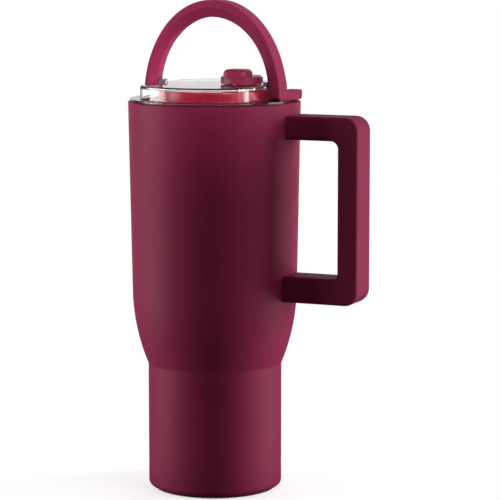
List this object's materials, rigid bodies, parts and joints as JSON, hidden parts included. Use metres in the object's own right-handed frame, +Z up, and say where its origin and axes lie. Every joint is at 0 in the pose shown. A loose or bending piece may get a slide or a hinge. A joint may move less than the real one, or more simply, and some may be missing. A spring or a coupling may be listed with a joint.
{
  "type": "insulated travel mug",
  "caption": "Tall insulated travel mug with a narrow base, squared side handle, clear-topped straw lid, arched carrying bail and flip cap.",
  "frame": {"origin": "centre of the resting face under the base", "axes": "+Z up along the mug's axis, +X towards the side handle, +Y behind, where the flip cap's hinge is"},
  "size_m": [0.1447, 0.1014, 0.2892],
  "materials": {
    "powder_coat": "matte soft-touch powder coat, fine orange-peel, burgundy",
    "steel": "brushed 18/8 stainless steel",
    "soft_grip": "matte soft-touch moulded plastic, burgundy",
    "lid_burgundy": "semi-gloss moulded plastic, burgundy",
    "cap_burgundy": "satin moulded plastic, burgundy",
    "clear_plastic": "clear polished copolyester, see-through",
    "silicone": "matte burgundy silicone",
    "silicone_clear": "matte translucent silicone",
    "nylon": "black glass-filled nylon",
    "getter_metal": "dull grey sintered metal",
    "solder_glass": "grey sealing glass"
  },
  "bodies": {
    "mug": {"outer_shell": "powder_coat", "inner_liner": "steel", "base_closure": "steel", "vacuum_seal": "solder_glass", "vacuum_getter": "getter_metal", "base_cover": "steel", "foot_pad": "silicone", "handle_bracket_upper": "steel", "handle_bracket_lower": "steel", "handle_core": "nylon", "handle_grip": "soft_grip", "handle_screws": "steel", "handle_screw_caps": "soft_grip"},
    "lid": {"lid_plug": "lid_burgundy", "lid_gasket": "silicone_clear", "lid_cover": "clear_plastic", "bail_pin_left": "steel", "bail_pin_right": "steel", "bail_washer_left": "nylon", "bail_washer_right": "nylon", "spout": "lid_burgundy", "spout_seal": "silicone_clear", "straw": "clear_plastic", "vent_valve": "silicone_clear", "cap_hinge_pin": "steel"},
    "carry_bail": {"bail": "soft_grip"},
    "cap": {"flip_cap": "cap_burgundy", "cap_seal": "silicone_clear"}
  },
  "joints": [
    {"name": "lid_lift", "type": "slide", "parent": "mug", "child": "lid", "axis": [0, 0, 1], "range_m": [0, 0.245]},
    {"name": "bail_fold", "type": "hinge", "parent": "lid", "child": "carry_bail", "pos_m": [0, 0, 0.24], "axis": [1, 0, 0], "range_deg": [0, 50]},
    {"name": "cap_flip", "type": "hinge", "parent": "lid", "child": "cap", "pos_m": [0.0175, 0.0132, 0.2429], "axis": [-1, 0, 0], "range_deg": [0, 105]}
  ]
}
